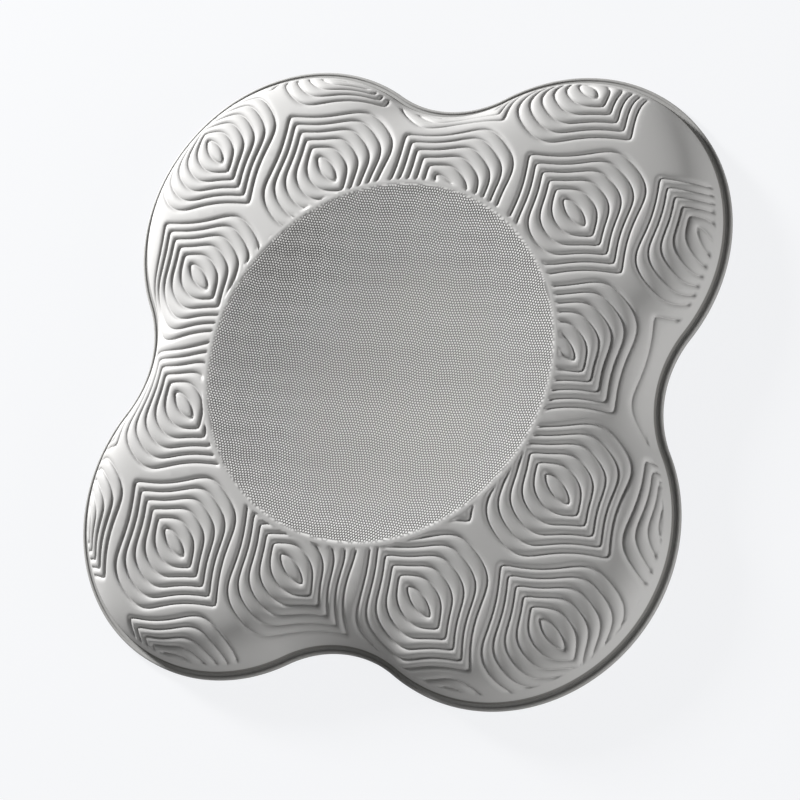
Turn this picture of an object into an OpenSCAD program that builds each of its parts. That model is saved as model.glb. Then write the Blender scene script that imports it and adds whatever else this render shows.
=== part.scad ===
// Four-lobed support pad: a foam block in a moulded skin, on a thin grip sole.
// Millimetres. The pad lies flat on z = 0 with its lobes on the diagonals and its notches on the axes.

/* [Outline] */
// Overall width, the same along x and y
pad_w = 190; // [160:1:230]
// Radius of each of the four lobes
lobe_r = 51.7; // [46:0.1:58]
// Radius of the notches between the lobes
notch_r = 33.5; // [25:0.5:45]

/* [Profile] */
// Height of the dish's rim, the highest part, above the floor
pad_h = 16.8; // [14:0.1:24]
// Radius of the sphere that the top is domed to
dome_r = 694; // [450:1:2000]
// Height of the steep skirt over the sole
skirt_h = 1.1; // [1:0.1:4.5]
// How far the skirt leans in
skirt_w = 0.3; // [0.1:0.1:1.2]
// Slope of the shoulder where it leaves the skirt, as rise over run
shoulder_slope = 2.36; // [1.4:0.01:3]
// Thickness of the moulded skin
skin_t = 1.2; // [0.8:0.1:1.8]

/* [Dish] */
// Radius of the shallow dish in the middle of the top
dish_r = 55; // [40:0.1:60]
// Depth of the dish's middle below its rim
dish_depth = 5; // [1:0.1:6]

/* [Sole] */
// Thickness of the grip sole
sole_t = 1.5; // [1:0.1:3]
// How far the sole stands out past the skin
flange_w = 1.8; // [1.5:0.1:4]
// Width of the bead along the sole's edge
bead_w = 0.9; // [0.6:0.1:1.4]
// Height of the bead above the sole
bead_h = 0.2; // [0.1:0.1:1]

/* [Smoothness] */
// Points round each ring of the skin, a multiple of eight
ring_points = 120; // [96:8:160]

/* [Hidden] */
$fn = 96;

grey = [0.66, 0.65, 0.64];
sole_grey = [0.55, 0.54, 0.53];
foam_grey = [0.78, 0.77, 0.75];

// The lobe circles stand on the diagonals and the notch circles on the axes, each touching its neighbours
lobe_xy = pad_w / 2 - lobe_r;
lobe_d = lobe_xy * sqrt(2);
notch_d = lobe_xy + sqrt(pow(lobe_r + notch_r, 2) - lobe_xy * lobe_xy);

skirt_s = flange_w + skirt_w;
skirt_z = sole_t + skirt_h;
dish_drop = dish_depth + pow(dish_r, 2) / (2 * dome_r);

shoulder_steps = 9;
shoulder_end = 19;
blend_steps = 4;
dish_steps = 5;

// Angle from the nearest notch, since the outline repeats eight times
function fold(angle) = min(angle % 90, 90 - angle % 90);

// Where a notch arc meets a lobe arc, for an outline set in by a distance
function join_angle(inset) =
    let (share = (notch_r + inset) / (notch_r + lobe_r))
    atan2(share * lobe_xy, notch_d + share * (lobe_xy - notch_d));

// Distance from the middle to the outline set in by a distance
function edge_r(angle, inset) =
    let (turn = fold(angle))
    turn < join_angle(inset)
    ? notch_d * cos(turn) - sqrt(pow(notch_r + inset, 2) - pow(notch_d * sin(turn), 2))
    : lobe_d * cos(45 - turn) + sqrt(pow(lobe_r - inset, 2) - pow(lobe_d * sin(45 - turn), 2));

// How far a point lies inside the outline
function inset_at(angle, radius) =
    let (x = radius * cos(fold(angle)), y = radius * sin(fold(angle)))
    (x - notch_d) * lobe_xy - y * (lobe_xy - notch_d) < 0
    ? norm([x - notch_d, y]) - notch_r
    : lobe_r - norm([x - lobe_xy, y - lobe_xy]);

// Height of the dome alone, which passes through the rim of the dish
function dome_z(radius) = pad_h + (pow(dish_r, 2) - pow(radius, 2)) / (2 * dome_r);

// How far the shoulder still lies below the dome
function shoulder_fall(inset, radius) =
    let (rise = dome_z(radius) - skirt_z)
    rise * exp((skirt_s - inset) * shoulder_slope / rise);

// Height of the top at a point, dome, shoulder and dish together
function top_z(angle, radius) =
    dome_z(radius) - shoulder_fall(inset_at(angle, radius), radius)
    - dish_drop * max(0, 1 - pow(radius / dish_r, 2));

// The foot of the skirt
function foot_ring(depth) =
    [for (i = [0 : ring_points - 1])
        let (angle = 360 * i / ring_points, radius = edge_r(angle, flange_w + depth))
        [radius * cos(angle), radius * sin(angle), sole_t]];

// One ring of the shoulder, set in along its normal by the depth
function shoulder_ring(inset, depth) =
    [for (i = [0 : ring_points - 1])
        let (
            angle = 360 * i / ring_points,
            outer_r = edge_r(angle, inset),
            rise = dome_z(outer_r) - skirt_z,
            fall = shoulder_fall(inset, outer_r),
            lean = atan(shoulder_slope * fall / rise),
            radius = edge_r(angle, inset + depth * sin(lean))
        )
        [radius * cos(angle), radius * sin(angle), dome_z(outer_r) - fall - depth * cos(lean)]];

// One ring of the top, part of the way from the shoulder's end to the rim of the dish
function blend_ring(share, depth) =
    [for (i = [0 : ring_points - 1])
        let (
            angle = 360 * i / ring_points,
            radius = (1 - share) * edge_r(angle, shoulder_end) + share * dish_r
        )
        [radius * cos(angle), radius * sin(angle), top_z(angle, radius) - depth]];

// One round ring of the dish
function dish_ring(radius, depth) =
    [for (i = [0 : ring_points - 1])
        let (angle = 360 * i / ring_points)
        [radius * cos(angle), radius * sin(angle), top_z(angle, radius) - depth]];

// Every ring of one surface from the foot of the skirt to the middle, then the middle point
function dome_points(depth) = concat(
    foot_ring(depth),
    [for (k = [0 : shoulder_steps])
        each shoulder_ring(skirt_s + (shoulder_end - skirt_s) * pow(k / shoulder_steps, 2), depth)],
    [for (k = [1 : blend_steps]) each blend_ring(k / blend_steps, depth)],
    [for (k = [1 : dish_steps - 1]) each dish_ring(dish_r * (1 - k / dish_steps), depth)],
    [[0, 0, top_z(0, 0) - depth]]
);

ring_count = 1 + shoulder_steps + 1 + blend_steps + dish_steps - 1;
dome_size = ring_count * ring_points + 1;

// Triangles of one surface, whose points start at a number; the inner surface of the skin is turned over
function dome_faces(first) = [
    for (k = [0 : ring_count - 1], i = [0 : ring_points - 1])
        let (
            a = first + k * ring_points + i,
            b = first + k * ring_points + (i + 1) % ring_points
        )
        each k < ring_count - 1
            ? [[a, a + ring_points, b + ring_points], [a, b + ring_points, b]]
            : [[a, first + dome_size - 1, b]]
];

function turned_over(faces) = [for (f = faces) [f[2], f[1], f[0]]];

// The outline as arcs: lobes joined by a block, less the notches
module outline(inset) {
    share = (notch_r + inset) / (notch_r + lobe_r);
    join_far = notch_d + share * (lobe_xy - notch_d);
    join_near = share * lobe_xy;
    difference() {
        union() {
            for (x = [-1, 1], y = [-1, 1])
                translate([x * lobe_xy, y * lobe_xy]) circle(lobe_r - inset);
            polygon([
                [join_far, -join_near], [join_far, join_near],
                [join_near, join_far], [-join_near, join_far],
                [-join_far, join_near], [-join_far, -join_near],
                [-join_near, -join_far], [join_near, -join_far]
            ]);
        }
        for (turn = [0 : 90 : 270])
            rotate(turn) translate([notch_d, 0]) circle(notch_r + inset);
    }
}

// Thin sole, wider than the pad, with a raised bead along its edge
module grip_sole() color(sole_grey) {
    linear_extrude(sole_t) outline(0);
    linear_extrude(sole_t + bead_h) difference() {
        outline(0);
        outline(bead_w);
    }
}

// Foam that fills the skin and rests on the sole
module foam_core() color(foam_grey)
    polyhedron(
        points = concat(dome_points(skin_t), [[0, 0, sole_t]]),
        faces = concat(
            dome_faces(0),
            [for (i = [0 : ring_points - 1]) [i, (i + 1) % ring_points, dome_size]]
        )
    );

// Skin over the foam: skirt, shoulder, dome and dish, open underneath
module cover_skin() color(grey)
    polyhedron(
        points = concat(dome_points(0), dome_points(skin_t)),
        faces = concat(
            dome_faces(0),
            turned_over(dome_faces(dome_size)),
            [for (i = [0 : ring_points - 1])
                let (j = (i + 1) % ring_points)
                each [[i, j, dome_size + j], [i, dome_size + j, dome_size + i]]]
        )
    );

grip_sole();
foam_core();
cover_skin();
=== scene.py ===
"""A four-lobed support pad: grip sole, foam core and moulded skin with ripple grooves and a pebbled dish."""

import math

import bpy
import numpy as np
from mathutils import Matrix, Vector
from mathutils.geometry import delaunay_2d_cdt
from mathutils.kdtree import KDTree


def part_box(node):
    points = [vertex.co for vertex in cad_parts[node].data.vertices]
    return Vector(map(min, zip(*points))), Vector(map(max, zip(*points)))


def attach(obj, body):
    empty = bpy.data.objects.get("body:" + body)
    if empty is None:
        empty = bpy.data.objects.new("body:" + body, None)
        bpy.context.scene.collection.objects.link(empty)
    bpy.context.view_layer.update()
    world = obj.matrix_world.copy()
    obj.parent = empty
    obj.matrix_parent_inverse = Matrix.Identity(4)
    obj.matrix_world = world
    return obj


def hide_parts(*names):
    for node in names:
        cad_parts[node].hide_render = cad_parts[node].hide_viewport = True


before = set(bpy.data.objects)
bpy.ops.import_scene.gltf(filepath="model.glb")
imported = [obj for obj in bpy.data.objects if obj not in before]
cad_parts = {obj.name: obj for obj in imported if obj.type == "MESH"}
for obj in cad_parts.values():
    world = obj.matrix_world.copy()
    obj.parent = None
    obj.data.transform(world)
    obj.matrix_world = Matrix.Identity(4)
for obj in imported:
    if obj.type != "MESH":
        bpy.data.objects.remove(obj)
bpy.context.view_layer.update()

# ---------------------------------------------------------------- Grip sole
# A thin flat plate of soft rubber, bonded under the pad and a little wider than it all round. Its edge
# carries a small rounded bead.

sole_low, sole_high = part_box("grip_sole")
pad_w = sole_high.x - sole_low.x
sole_t = 0.0015
bead_w = 0.0009
bead_rise = sole_high.z - sole_t
bead_steps = 9
top_inset = 1.3 * bead_w
edge_round = 0.00035
edge_corner = 0.3 * edge_round

# The outline has four lobe arcs on the diagonals and four notch arcs on the axes, each touching its
# neighbours. The sole and the skin both follow it, set in by some distance.
lobe_r = 0.0517
notch_r = 0.0335
lobe_xy = pad_w / 2 - lobe_r
notch_d = lobe_xy + math.sqrt((lobe_r + notch_r) ** 2 - lobe_xy**2)
join_angle = math.atan2(lobe_xy, notch_d - lobe_xy)
lobe_points = 132
notch_points = 36
ring_size = 4 * (lobe_points + notch_points)


def outline_ring(inset):
    """Points of the outline set in by a distance, anticlockwise from the notch on +X."""
    notch_turns = np.linspace(math.pi + join_angle, math.pi - join_angle, notch_points, endpoint=False)
    lobe_turns = np.linspace(-join_angle, math.pi / 2 + join_angle, lobe_points, endpoint=False)
    notch = [notch_d, 0] + (notch_r + inset) * np.c_[np.cos(notch_turns), np.sin(notch_turns)]
    lobe = [lobe_xy, lobe_xy] + (lobe_r - inset) * np.c_[np.cos(lobe_turns), np.sin(lobe_turns)]
    quarter = np.r_[notch, lobe]
    turned = [quarter, quarter[:, ::-1] * [-1, 1], -quarter, quarter[:, ::-1] * [1, -1]]
    return np.concatenate(turned)


def mottled_finish(name, texture, scale, dark, pale, rough, bump_strength, bump_depth):
    """A material that a fine texture mottles between two colours and roughens a little."""
    finish = bpy.data.materials.new(name)
    finish.use_nodes = True
    nodes, links = finish.node_tree.nodes, finish.node_tree.links
    shader = nodes["Principled BSDF"]
    shader.inputs["Roughness"].default_value = rough
    place = nodes.new("ShaderNodeTexCoord")
    mottle = nodes.new(texture)
    mottle.inputs["Scale"].default_value = scale
    tint = nodes.new("ShaderNodeMix")
    tint.data_type = "RGBA"
    tint.inputs["A"].default_value = dark
    tint.inputs["B"].default_value = pale
    bump = nodes.new("ShaderNodeBump")
    bump.inputs["Strength"].default_value = bump_strength
    bump.inputs["Distance"].default_value = bump_depth
    links.new(place.outputs["Object"], mottle.inputs["Vector"])
    links.new(mottle.outputs[0], tint.inputs["Factor"])
    links.new(tint.outputs["Result"], shader.inputs["Base Color"])
    links.new(mottle.outputs[0], bump.inputs["Height"])
    links.new(bump.outputs["Normal"], shader.inputs["Normal"])
    return finish


def new_piece(name, points, faces, material):
    """A smooth-shaded mesh piece that rides on the pad."""
    mesh = bpy.data.meshes.new(name)
    mesh.from_pydata(np.asarray(points).tolist(), [], faces)
    mesh.update()
    mesh.shade_smooth()
    mesh.materials.append(material)
    piece = bpy.data.objects.new(name, mesh)
    bpy.context.scene.collection.objects.link(piece)
    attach(piece, "root")
    return piece


# Inset and height of each ring: from the flat top over the bead, down the edge and round onto the underside
sole_profile = [(top_inset, sole_t)]
for turn in np.linspace(math.pi, 0.0, bead_steps):
    sole_profile.append((bead_w / 2 - bead_w / 2 * math.cos(turn), sole_t + bead_rise * math.sin(turn)))
sole_profile += [(0.0, edge_round), (edge_corner, edge_corner), (edge_round, 0.0)]
sole_points = np.concatenate([np.c_[outline_ring(inset), np.full(ring_size, z)] for inset, z in sole_profile])

here = np.arange(ring_size)
ahead = (here + 1) % ring_size
sole_faces = [here.tolist()]
for k in range(len(sole_profile) - 1):
    lower, upper = k * ring_size, (k + 1) * ring_size
    sole_faces += np.c_[here + lower, here + upper, ahead + upper, ahead + lower].tolist()
sole_faces.append((here + (len(sole_profile) - 1) * ring_size)[::-1].tolist())

sole_rubber = mottled_finish(
    "sole_rubber", "ShaderNodeTexNoise", scale=900, dark=(0.21, 0.208, 0.2, 1), pale=(0.27, 0.267, 0.26, 1),
    rough=0.6, bump_strength=0.12, bump_depth=0.0001,
)
sole = new_piece("grip_sole_plate", sole_points, sole_faces, sole_rubber)
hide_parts("grip_sole")

# ---------------------------------------------------------------- Foam core
# The softer foam that fills the skin. It is poured with the skin and shows nowhere, so the solid's own shape
# is kept and only takes the look of cut foam.

cut_foam = mottled_finish(
    "cut_foam", "ShaderNodeTexVoronoi", scale=1500, dark=(0.30, 0.29, 0.27, 1), pale=(0.42, 0.41, 0.39, 1),
    rough=0.85, bump_strength=0.6, bump_depth=0.0003,
)
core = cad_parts["foam_core"]
core.data.materials.clear()
core.data.materials.append(cut_foam)

# ---------------------------------------------------------------- Cover skin
# The dense satin skin, moulded together with the foam. A low steep skirt stands on the sole, and above the
# mould's parting line the skin rounds over a wide shoulder onto a domed top. A shallow round dish in the
# middle has a fine pebble grain, and the lobes carry rows of eye-shaped ripple grooves.

pad_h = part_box("cover_skin")[1].z
flange_w = 0.0018
skirt_w = 0.0003
skirt_h = 0.0011
skirt_in = flange_w + skirt_w
shoulder_slope = 2.36
dish_r = 0.0550
dish_depth = 0.0050
dome_r = 0.694
dish_sag = dish_depth + dish_r**2 / (2 * dome_r)


def dome_height(radius):
    """Height of the bare dome, which peaks over the dish and passes through its rim."""
    return pad_h + (dish_r**2 - radius**2) / (2 * dome_r)


def nearest_arc(points):
    """For each point, how far it lies inside the outline and the unit vector straight out of the outline."""
    sign = np.where(points < 0, -1.0, 1.0)
    x, y = np.abs(points).T
    swapped = y > x
    x, y = np.where(swapped, y, x), np.where(swapped, x, y)
    by_notch = (x - notch_d) * lobe_xy - y * (lobe_xy - notch_d) < 0
    away = np.c_[x - np.where(by_notch, notch_d, lobe_xy), y - np.where(by_notch, 0, lobe_xy)]
    far = np.hypot(*away.T)
    inset = np.where(by_notch, far - notch_r, lobe_r - far)
    out = away / np.maximum(far, 1e-9)[:, None] * np.where(by_notch, -1, 1)[:, None]
    out[swapped] = out[swapped][:, ::-1]
    return inset, out * sign


# The skin's edge, from the foot of the skirt to well onto the top, is first laid out flat: there it carries
# on outwards from the top at its full length, and every mesh point is placed there. The shoulder's height
# hardly changes round the pad, so its length is taken once, a little short of the lobes' ends.
edge_w = 0.0127
edge_radius = 0.1
skirt_steps, shoulder_steps = 40, 300
edge_inset = flange_w + np.r_[
    np.linspace(0, skirt_w, skirt_steps, endpoint=False), np.linspace(skirt_w, edge_w, shoulder_steps)
]
edge_shoulder_h = dome_height(edge_radius) - sole_t - skirt_h
edge_rise = edge_shoulder_h * (1 - np.exp((skirt_in - edge_inset) * shoulder_slope / edge_shoulder_h))
edge_rise = np.where(edge_inset < skirt_in, (edge_inset - skirt_in) / skirt_w * skirt_h, edge_rise)
edge_climb = np.r_[0, np.cumsum(np.hypot(np.diff(edge_inset), np.diff(edge_rise)))]
edge_end = edge_inset[-1]
flat_inset = edge_end - edge_climb[-1] + edge_climb


def laid_flat(points):
    """Plan points moved outwards to where they lie with the edge laid out flat."""
    inset, out = nearest_arc(points)
    flat = np.where(inset < edge_end, np.interp(inset, edge_inset, flat_inset), inset)
    return points + out * (inset - flat)[:, None]


# Each ripple is an eye inside five more closed rings. One quarter of a ring is a curve from its waist, where
# it runs flat, to its pointed tip; every size of it grows by the same step from ring to ring.
ripple_rings = 6
first_waist, waist_step = 0.0021, 0.00387
first_tip, tip_step = 0.0067, 0.00370
first_bend, bend_step = 0.0038, 0.0021
reach_step = 0.0043
tip_angle = 0.64
tip_round = 0.0007
fine_steps = 400


def ripple_quarter(ring, steps=25):
    """Points of a quarter ring, from waist to rounded tip; ring may lie between two whole numbers."""
    waist = np.array([0, first_waist + waist_step * (ring - 1)])
    tip = np.array([first_tip + tip_step * (ring - 1), 0])
    bend = waist + [first_bend + bend_step * (ring - 1), 0]
    lead = tip + reach_step * (ring - 1) * np.array([-math.cos(tip_angle), math.sin(tip_angle)])

    def sharp(t):
        t = t[:, None]
        u = 1 - t
        return u**3 * waist + 3 * u**2 * t * bend + 3 * u * t**2 * lead + t**3 * tip

    back = np.linspace(1, 0, fine_steps)
    last = np.interp(tip_round, sharp(back)[:, 1], back)
    curve = sharp(last * np.sin(np.linspace(0, math.pi / 2, steps + 1)))
    curve[:, 1] = np.sqrt(np.maximum(curve[:, 1] ** 2 - tip_round**2, 0))
    return curve


# The eyes stand at every other crossing of columns and rows that lie square to the two diagonals, and each
# odd column is moved a little. A few are left out, where the skin stays plain, and one has only its
# outermost ring. Distances start from a length at which no groove is near.
along = np.array([math.cos(math.pi / 4), -math.sin(math.pi / 4)])
across = np.array([math.sin(math.pi / 4), math.cos(math.pi / 4)])
eye_step = np.array([0.03243, 0.0251])
first_eye = np.array([0.00255, 0.02048])
odd_shift = np.array([-0.0007, 0])
plain_eyes = [(0, 4), (-3, -3), (0, -6), (2, -4)]
inner_rings = {(2, 2): 6}
farthest_column, farthest_row = 4, 6
no_groove = 1.0


def groove_distance(points):
    """Distance from each flat point to the nearest groove's middle line."""
    local = np.c_[points @ along, points @ across] - first_eye
    nearest = np.full(len(points), no_groove)
    for shift in (0, 1):
        moved = local - shift * odd_shift
        eye = 2 * np.round((moved / eye_step - shift) / 2) + shift
        cell = np.abs(moved - eye * eye_step)
        inner = np.ones(len(points))
        for plain in plain_eyes:
            inner[np.all(eye == plain, axis=1)] = ripple_rings + 1
        for cut, first_ring in inner_rings.items():
            inner[np.all(eye == cut, axis=1)] = first_ring
        for ring in range(1, ripple_rings + 1):
            curve = ripple_quarter(ring)
            grooved = inner <= ring
            for a, b in zip(curve[:-1], curve[1:]):
                step = b - a
                t = np.clip((cell - a) @ step / (step @ step), 0, 1)
                far = np.hypot(*(cell - a - t[:, None] * step).T)
                nearest = np.where(grooved, np.minimum(nearest, far), nearest)
    return nearest


# A groove is a narrow cut with a soft bank on either side. It starts just outside the dish and runs down the
# edge to a small round end above the parting line.
groove_depth, groove_half_w = 0.00032, 0.00027
bank_drop, bank_reach = 0.00044, 0.0008
groove_start = dish_r + 0.0009
groove_end = 0.0042
end_round = 0.0006


def smooth_step(value):
    """0 below 0, 1 above 1 and smooth between."""
    t = np.clip(value, 0, 1)
    return t * t * (3 - 2 * t)


def relief(flat_points, climb):
    """How deep the skin lies under its bare surface, at flat points some way up from the foot."""
    radius = np.hypot(*flat_points.T)
    depth = np.zeros(len(flat_points))
    out_of_dish = radius > dish_r
    far = groove_distance(flat_points[out_of_dish])
    depth[out_of_dish] = groove_depth * np.exp(-((far / groove_half_w) ** 2))
    depth[out_of_dish] += bank_drop * np.exp(-((far / bank_reach) ** 2))
    fade = smooth_step((climb - groove_end) / end_round)
    fade *= smooth_step((radius - groove_start) / end_round)
    return depth * fade


def skin_surface(flat_points):
    """Points of the skin in space, from points laid out flat."""
    flat, out = nearest_arc(flat_points)
    inset = np.where(flat < edge_end, np.interp(flat, flat_inset, edge_inset), flat)
    points = flat_points - out * (inset - flat)[:, None]
    radius = np.hypot(*points.T)
    dome = dome_height(radius)
    shoulder_h = dome - sole_t - skirt_h
    fall = shoulder_h * np.exp((skirt_in - np.maximum(inset, skirt_in)) * shoulder_slope / shoulder_h)
    bare = np.where(inset < skirt_in, sole_t + (inset - flange_w) / skirt_w * skirt_h, dome - fall)
    lean = np.arctan(np.where(inset < skirt_in, skirt_h / skirt_w, fall * shoulder_slope / shoulder_h))
    dish = dish_sag * np.maximum(0, 1 - (radius / dish_r) ** 2)
    depth = relief(flat_points, flat - flat_inset[0])
    return np.c_[points - out * (depth * np.sin(lean))[:, None], bare - dish - depth * np.cos(lean)]


def evenly(points, step):
    """A run of points taken again at even steps along it."""
    way = np.r_[0, np.cumsum(np.hypot(*np.diff(points, axis=0).T))]
    at = np.linspace(0, way[-1], max(2, round(way[-1] / step) + 1))
    return np.c_[np.interp(at, way, points[:, 0]), np.interp(at, way, points[:, 1])]


def hex_net(step, reach):
    """Points of a triangular net inside a circle."""
    count = int(reach / step) + 2
    i, j = np.meshgrid(np.arange(-count, count + 1), np.arange(-2 * count, 2 * count + 1))
    net = np.c_[((i + j % 2 / 2) * step).ravel(), (j * step * math.sqrt(3) / 2).ravel()]
    return net[np.hypot(*net.T) < reach]


# Rows of points follow the grooves from tip to tip, closest where the surface bends most. They stop a little
# past the grooves' ends, near the parting line and at the dish.
row_offsets = (-0.5, -0.27, -0.16, -0.075, 0, 0.075, 0.16, 0.27)
outer_offsets = (0.4, 0.56)
innermost_row = 0.7
row_step = 0.00115
row_overrun = 0.0008
row_to_dish = 0.0004
shortest_row = 4
quarter_steps = 100

rows = [k + d for k in range(1, ripple_rings + 1) for d in row_offsets if k + d > innermost_row]
rows += [ripple_rings + d for d in outer_offsets]
columns = range(-farthest_column, farthest_column + 1)
crossings = [(m, n) for m in columns for n in range(-farthest_row, farthest_row + 1) if (m + n) % 2 == 0]
eyes = [crossing for crossing in crossings if crossing not in plain_eyes]
runs = []
for ring in rows:
    quarter = ripple_quarter(ring, quarter_steps)
    half = np.r_[quarter[:0:-1], quarter * [-1, 1]]
    for eye in eyes:
        if ring < inner_rings.get(eye, 1) + row_offsets[0]:
            continue
        for side in (1, -1):
            local = half * side + first_eye + eye_step * eye + eye[0] % 2 * odd_shift
            row = local @ np.array([along, across])
            climb = nearest_arc(row)[0] - flat_inset[0]
            kept = (climb > groove_end - row_overrun) & (np.hypot(*row.T) > dish_r + row_to_dish)
            ends = np.flatnonzero(np.diff(np.r_[0, kept, 0]))
            for first, last in zip(ends[::2], ends[1::2]):
                if last - first >= shortest_row:
                    runs.append(evenly(row[first:last], row_step))

# The foot of the skirt and the edge of the dish are closed rings of their own
dish_points = 420
foot_ring = outline_ring(flange_w)
dish_turns = np.linspace(0, 2 * math.pi, dish_points)
runs.append(laid_flat(np.r_[foot_ring, foot_ring[:1]]))
runs.append(dish_r * np.c_[np.cos(dish_turns), np.sin(dish_turns)])

# Each pebble of the dish has one point on top and two in the creases round it. The pebbles stand in a net
# that is turned a little, sways slowly and strays from pebble to pebble. The tops are marked for a painted
# highlight and the creases for painted shade.
pebble_pitch = 0.00087
pebble_h = 0.00020
pebble_turn = -0.09
pebble_sway, sway_waves, sway_start = 0.00035, 210, [0, 1.3]
pebble_stray, stray_waves, stray_start = 0.00012, 900, [2, 0.5]
pebbled_r = dish_r - 0.0004
painted_highlight_mark, painted_shade_mark = -1, 0.62

row_way = np.array([math.cos(pebble_turn), math.sin(pebble_turn)])
row_side = np.array([-row_way[1], row_way[0]])
crease = pebble_pitch / math.sqrt(3) * row_side
pebble_tops = hex_net(pebble_pitch, dish_r) @ np.array([row_way, row_side])
pebble_tops += pebble_sway * np.sin(pebble_tops[:, ::-1] * sway_waves + sway_start)
pebble_tops += pebble_stray * np.sin(pebble_tops[:, ::-1] * stray_waves + stray_start)
pebble_tops = pebble_tops[np.hypot(*pebble_tops.T) < pebbled_r]
pebble_creases = np.concatenate([pebble_tops + crease, pebble_tops - crease])
pebble_creases = pebble_creases[np.hypot(*pebble_creases.T) < pebbled_r]

# Rings up the edge and an open net over the top, where nothing is near yet
ring_gap, last_ring = 0.0009, 0.0085
open_step, open_reach = 0.0014, 0.115
open_inset, open_to_dish = 0.006, 0.0008
clear_gap = 0.00065

ring_climbs = np.arange(ring_gap, last_ring, ring_gap)
edge_rings = [outline_ring(np.interp(climb, edge_climb, edge_inset)) for climb in ring_climbs]
open_net = hex_net(open_step, open_reach)
on_top = nearest_arc(open_net)[0] > open_inset
open_net = open_net[on_top & (np.hypot(*open_net.T) > dish_r + open_to_dish)]
spread = np.concatenate(runs)
for added in (laid_flat(np.concatenate(edge_rings)), open_net):
    tree = KDTree(len(spread))
    for index, point in enumerate(spread):
        tree.insert((*point, 0), index)
    tree.balance()
    spread = np.r_[spread, [point for point in added if tree.find((*point, 0))[2] > clear_gap]]

# All points are joined into triangles while they lie flat, and then draped
merge_gap = 1e-6
pebble_fade_w = 0.0016

row_edges = []
start = 0
for run in runs:
    row_edges += [(start + k, start + k + 1) for k in range(len(run) - 1)]
    start += len(run)
tops_from = len(spread)
tops_to = tops_from + len(pebble_tops)
spread = np.concatenate([spread, pebble_tops, pebble_creases])
net = delaunay_2d_cdt([Vector(point) for point in spread], row_edges, [], 0, merge_gap)
flat_points = np.array([point[:] for point in net[0]])
is_top = np.array([any(tops_from <= k < tops_to for k in sources) for sources in net[3]])
faces = np.array(net[2])
faces = faces[nearest_arc(flat_points[faces].mean(1))[0] > flat_inset[0]]
pebble_fade = smooth_step((dish_r - np.hypot(*flat_points.T)) / pebble_fade_w)
skin_points = skin_surface(flat_points)
skin_points[:, 2] += pebble_h * is_top * pebble_fade

# Normals follow the surface itself. Each pebble's lean out from its top, so that it looks round down to the
# crease.
probe = 0.00002
pebble_lean = 0.8

probe_steps = ([probe, 0], [0, probe])
slopes = [skin_surface(flat_points + step) - skin_surface(flat_points - step) for step in probe_steps]
normals = np.cross(*slopes)
normals /= np.linalg.norm(normals, axis=1)[:, None]
corners = normals[faces]
on_pebble = is_top[faces].sum(1) == 1
top = flat_points[faces[on_pebble, is_top[faces[on_pebble]].argmax(1)]]
aside = flat_points[faces[on_pebble]] - top[:, None]
aside /= np.maximum(np.linalg.norm(aside, axis=2), 1e-9)[:, :, None]
corners[on_pebble, :, :2] += pebble_lean * aside * pebble_fade[faces[on_pebble]][:, :, None]
corners /= np.linalg.norm(corners, axis=2)[:, :, None]

# Satin grey skin: a faint cloudiness in colour and gloss and a very fine grain
satin_skin = bpy.data.materials.new("satin_skin")
satin_skin.use_nodes = True
nodes, links = satin_skin.node_tree.nodes, satin_skin.node_tree.links
shader = nodes["Principled BSDF"]
shader.inputs["Specular IOR Level"].default_value = 0.12
place = nodes.new("ShaderNodeTexCoord")
cloud = nodes.new("ShaderNodeTexNoise")
cloud.inputs["Scale"].default_value = 35
cloud.inputs["Detail"].default_value = 4
tint = nodes.new("ShaderNodeMix")
tint.data_type = "RGBA"
tint.inputs["A"].default_value = (0.335, 0.331, 0.325, 1)
tint.inputs["B"].default_value = (0.365, 0.361, 0.355, 1)
sheen = nodes.new("ShaderNodeMapRange")
sheen.inputs["To Min"].default_value = 0.55
sheen.inputs["To Max"].default_value = 0.68
grain = nodes.new("ShaderNodeTexNoise")
grain.inputs["Scale"].default_value = 2600
bump = nodes.new("ShaderNodeBump")
bump.inputs["Strength"].default_value = 0.3
bump.inputs["Distance"].default_value = 0.00004
links.new(place.outputs["Object"], cloud.inputs["Vector"])
links.new(place.outputs["Object"], grain.inputs["Vector"])
links.new(cloud.outputs["Fac"], tint.inputs["Factor"])
links.new(cloud.outputs["Fac"], sheen.inputs["Value"])
links.new(sheen.outputs["Result"], shader.inputs["Roughness"])
links.new(grain.outputs["Fac"], bump.inputs["Height"])
links.new(bump.outputs["Normal"], shader.inputs["Normal"])

# Painted light on the pebbles: a painted highlight on the tops, painted shade in the creases; a mark of 0
# leaves the colour as it is
painted_light_marks = nodes.new("ShaderNodeAttribute")
painted_light_marks.attribute_name = "crease"
shade = nodes.new("ShaderNodeMapRange")
shade.inputs["From Min"].default_value = painted_highlight_mark
shade.inputs["To Min"].default_value = 2.3
shade.inputs["To Max"].default_value = -0.3
pebble_painted_light = nodes.new("ShaderNodeVectorMath")
pebble_painted_light.operation = "SCALE"
links.new(painted_light_marks.outputs["Fac"], shade.inputs["Value"])
links.new(shade.outputs["Result"], pebble_painted_light.inputs["Scale"])
links.new(tint.outputs["Result"], pebble_painted_light.inputs[0])

# The skirt under the parting line is darker than the rest
parting_z = sole_t + skirt_h
parting_blur = 0.0002
height = nodes.new("ShaderNodeSeparateXYZ")
above = nodes.new("ShaderNodeMapRange")
above.interpolation_type = "SMOOTHSTEP"
above.inputs["From Min"].default_value = parting_z - parting_blur
above.inputs["From Max"].default_value = parting_z + parting_blur
band = nodes.new("ShaderNodeMix")
band.data_type = "RGBA"
band.inputs["A"].default_value = (0.13, 0.127, 0.12, 1)
links.new(place.outputs["Object"], height.inputs["Vector"])
links.new(height.outputs["Z"], above.inputs["Value"])
links.new(above.outputs["Result"], band.inputs["Factor"])
links.new(pebble_painted_light.outputs["Vector"], band.inputs["B"])
links.new(band.outputs["Result"], shader.inputs["Base Color"])

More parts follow.
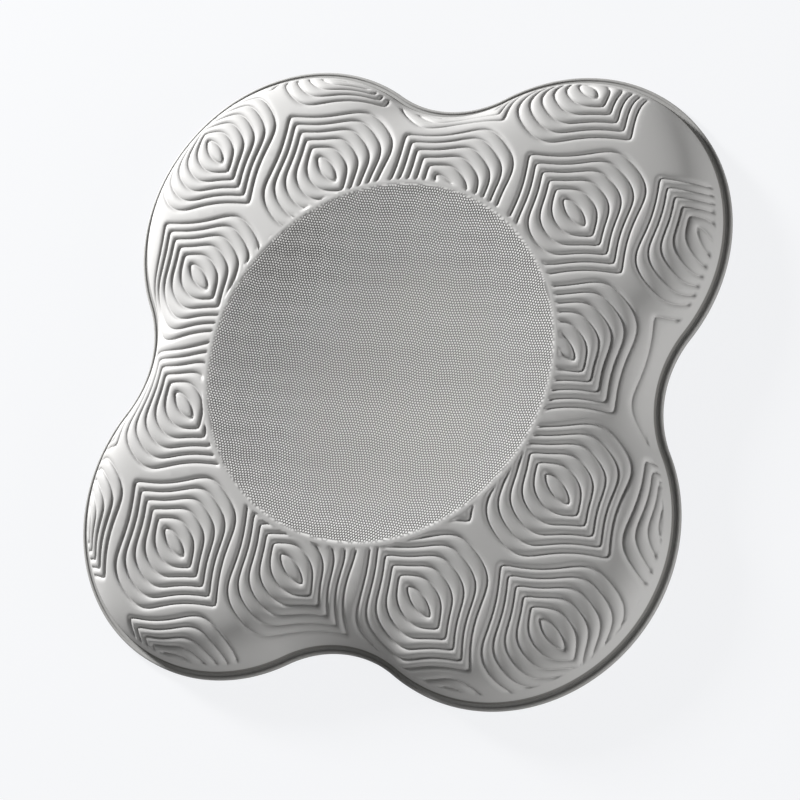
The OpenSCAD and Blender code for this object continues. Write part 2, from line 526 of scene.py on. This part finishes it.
skin = new_piece("moulded_skin", skin_points, faces.tolist(), satin_skin)
skin.data.normals_split_custom_set(corners.reshape(-1, 3).tolist())
# Painted highlight marks on the pebble tops and painted shade marks in the creases, faded out at the dish's
# edge
painted_pebble_light = pebble_fade * np.where(is_top, painted_highlight_mark, painted_shade_mark)
skin.data.attributes.new("crease", "FLOAT", "POINT").data.foreach_set("value", painted_pebble_light)
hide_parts("cover_skin")

# ---------------------------------------------------------------- Floor
# A wide plain pale sheet that the pad lies on. To the camera most of its colour is an even near white, and
# the rest takes the pad's soft shadow.

floor_half = 0.8
glow_share = 0.9
pale_ground = (0.939, 0.947, 0.965, 1)

floor_mesh = bpy.data.meshes.new("floor")
floor_corners = [(x * floor_half, y * floor_half, 0) for x, y in ((-1, -1), (1, -1), (1, 1), (-1, 1))]
floor_mesh.from_pydata(floor_corners, [], [(0, 1, 2, 3)])
floor = bpy.data.objects.new("floor", floor_mesh)
bpy.context.scene.collection.objects.link(floor)

floor_paint = bpy.data.materials.new("floor_paint")
floor_paint.use_nodes = True
nodes, links = floor_paint.node_tree.nodes, floor_paint.node_tree.links
shader = nodes["Principled BSDF"]
shader.inputs["Base Color"].default_value = (0.6, 0.6, 0.6, 1)
shader.inputs["Roughness"].default_value = 0.9
shader.inputs["Specular IOR Level"].default_value = 0
glow = nodes.new("ShaderNodeEmission")
glow.inputs["Color"].default_value = pale_ground
glow.inputs["Strength"].default_value = 1
ray = nodes.new("ShaderNodeLightPath")
share = nodes.new("ShaderNodeMath")
share.operation = "MULTIPLY"
share.inputs[1].default_value = glow_share
blend = nodes.new("ShaderNodeMixShader")
links.new(ray.outputs["Is Camera Ray"], share.inputs[0])
links.new(share.outputs["Value"], blend.inputs["Fac"])
links.new(shader.outputs["BSDF"], blend.inputs[1])
links.new(glow.outputs["Emission"], blend.inputs[2])
links.new(blend.outputs["Shader"], nodes["Material Output"].inputs["Surface"])
floor_mesh.materials.append(floor_paint)

# ---------------------------------------------------------------- Studio light
# A soft key light from behind on the left, a low fill from the right and a faint one from the front, in a dim
# white studio whose backdrop shows as pale as the floor.


def soft_box(name, turn, rise, far, size, power):
    """A square soft box that shines at the pad from a direction given in degrees."""
    light = bpy.data.lights.new(name, "AREA")
    light.shape = "SQUARE"
    light.size = size
    light.energy = power
    lamp = bpy.data.objects.new(name, light)
    lamp.rotation_euler = (math.radians(90 - rise), 0, math.radians(turn + 90))
    lamp.location = lamp.rotation_euler.to_matrix() @ Vector((0, 0, far))
    bpy.context.scene.collection.objects.link(lamp)


soft_box("key", turn=148, rise=16, far=1.2, size=0.15, power=49)
soft_box("low_fill", turn=-12, rise=8, far=1.2, size=0.6, power=19)
soft_box("front_fill", turn=255, rise=22, far=1.2, size=0.6, power=3)

world = bpy.data.worlds.new("studio")
world.use_nodes = True
nodes, links = world.node_tree.nodes, world.node_tree.links
nodes["Background"].inputs["Color"].default_value = (1, 1, 1, 1)
nodes["Background"].inputs["Strength"].default_value = 0.095
backdrop = nodes.new("ShaderNodeBackground")
backdrop.inputs["Color"].default_value = pale_ground
backdrop.inputs["Strength"].default_value = 1
ray = nodes.new("ShaderNodeLightPath")
blend = nodes.new("ShaderNodeMixShader")
links.new(ray.outputs["Is Camera Ray"], blend.inputs["Fac"])
links.new(nodes["Background"].outputs["Background"], blend.inputs[1])
links.new(backdrop.outputs["Background"], blend.inputs[2])
links.new(blend.outputs["Shader"], nodes["World Output"].inputs["Surface"])
bpy.context.scene.world = world

# ---------------------------------------------------------------- Camera
# It looks down on the pad from the front right, with a long lens.

camera_data = bpy.data.cameras.new("camera")
camera_data.lens = 145.5
camera_data.clip_end = 20
camera = bpy.data.objects.new("camera", camera_data)
camera.location = (0.41495, -0.24280, 0.81104)
camera.rotation_euler = [math.radians(turn) for turn in (19.665, 23.692, 11.906)]
bpy.context.scene.collection.objects.link(camera)
bpy.context.scene.camera = camera
bpy.context.scene.view_settings.view_transform = "Standard"
